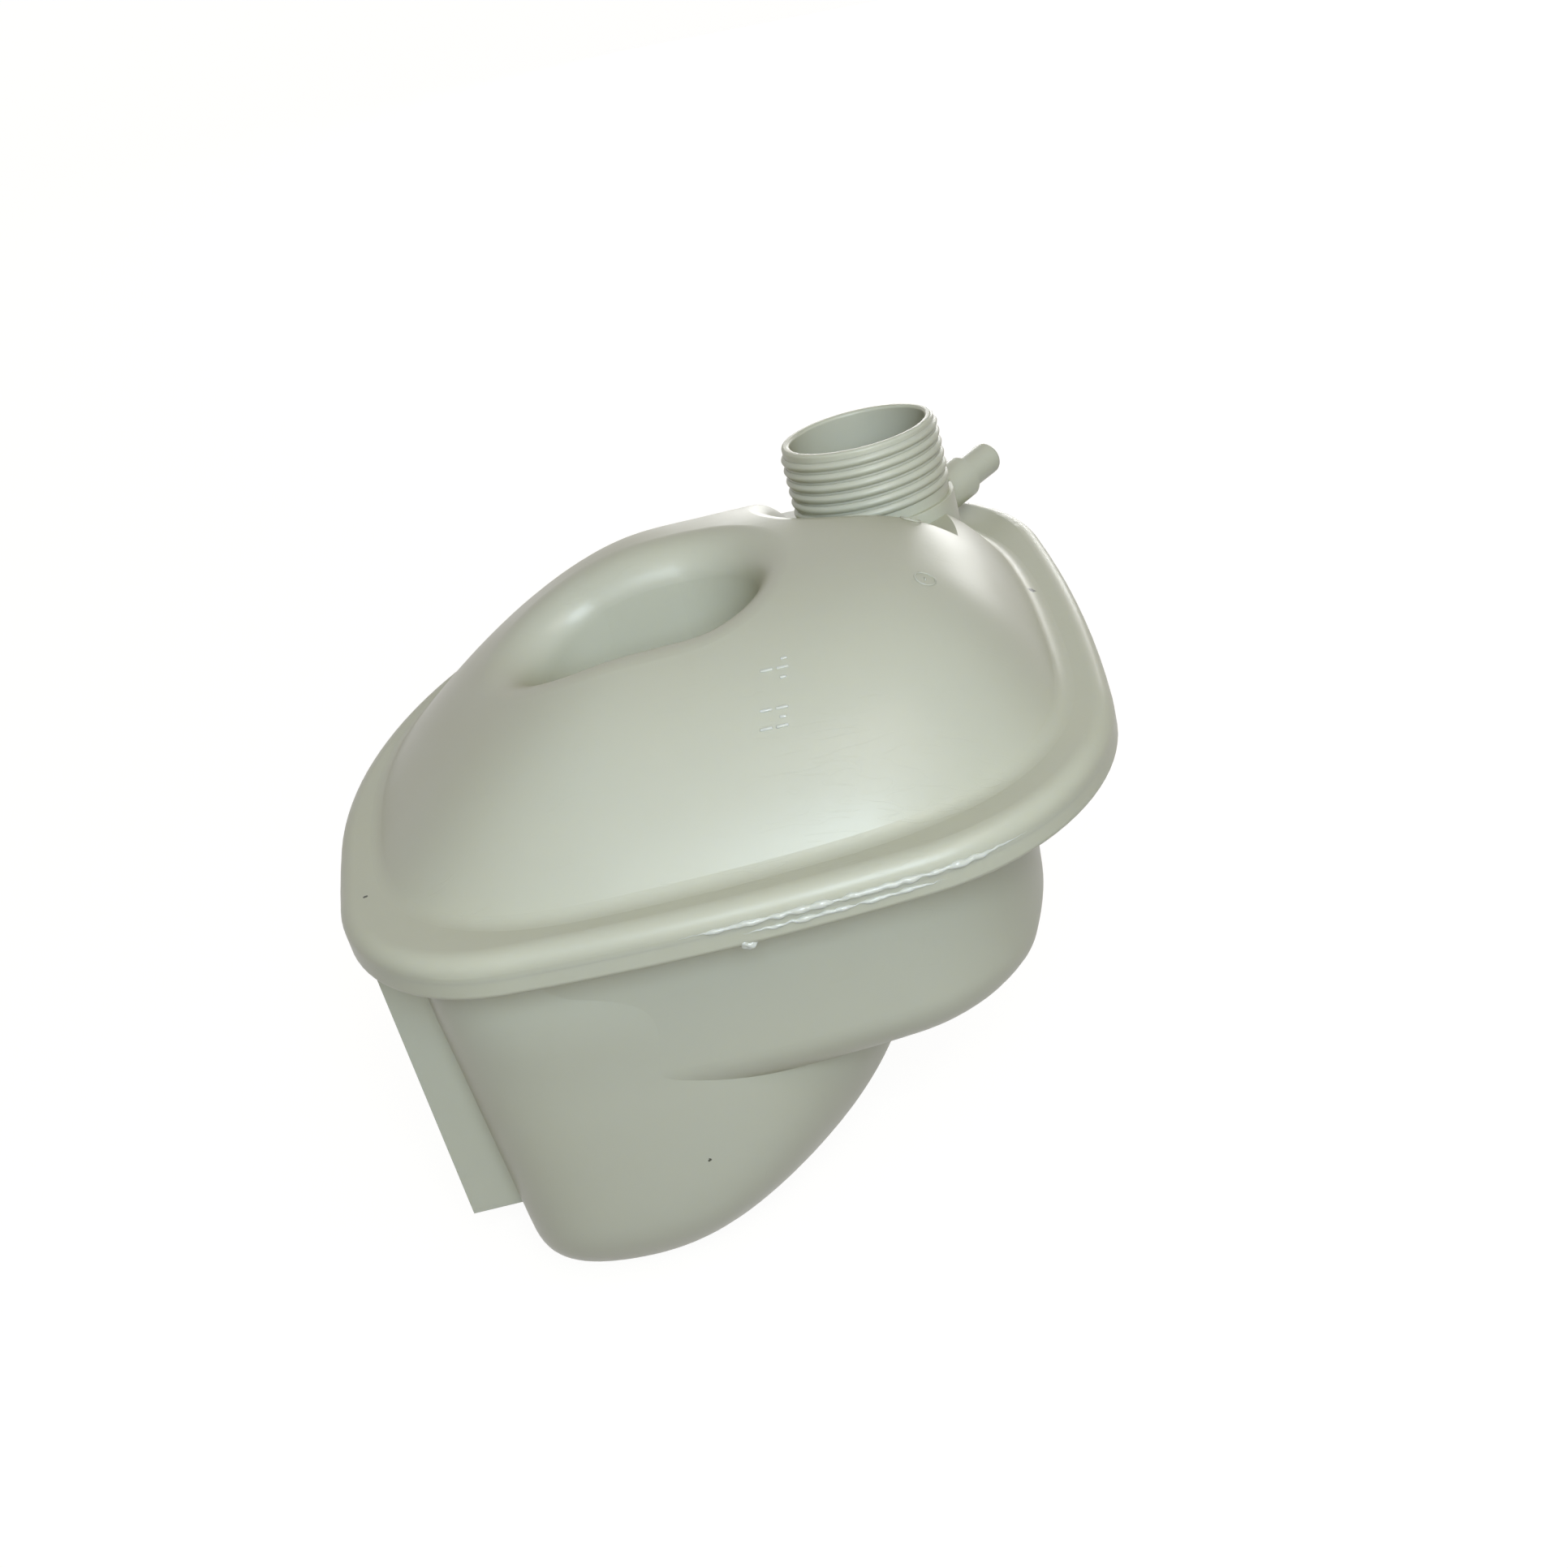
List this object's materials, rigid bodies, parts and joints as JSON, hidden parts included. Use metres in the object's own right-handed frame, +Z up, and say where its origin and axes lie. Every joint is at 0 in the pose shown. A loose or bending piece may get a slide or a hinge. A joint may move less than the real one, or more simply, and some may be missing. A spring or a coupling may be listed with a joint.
{
  "type": "coolant expansion tank",
  "caption": "Milky translucent welded plastic tank with a domed top, threaded filler neck, vent nipple, deep lower bag, hose outlet and a bracket sleeve; holds spare engine coolant.",
  "frame": {"origin": "under the middle of the weld flange, level with the flat underside of the bag", "axes": "+Z up, square to the weld flange; +X along the flange's front edge to the right; +Y from the front to the rear"},
  "size_m": [0.1939, 0.1916, 0.167],
  "materials": {
    "milky_plastic": "satin, milky translucent polypropylene"
  },
  "bodies": {
    "root": {"upper_shell": "milky_plastic", "lower_shell": "milky_plastic"}
  },
  "joints": []
}
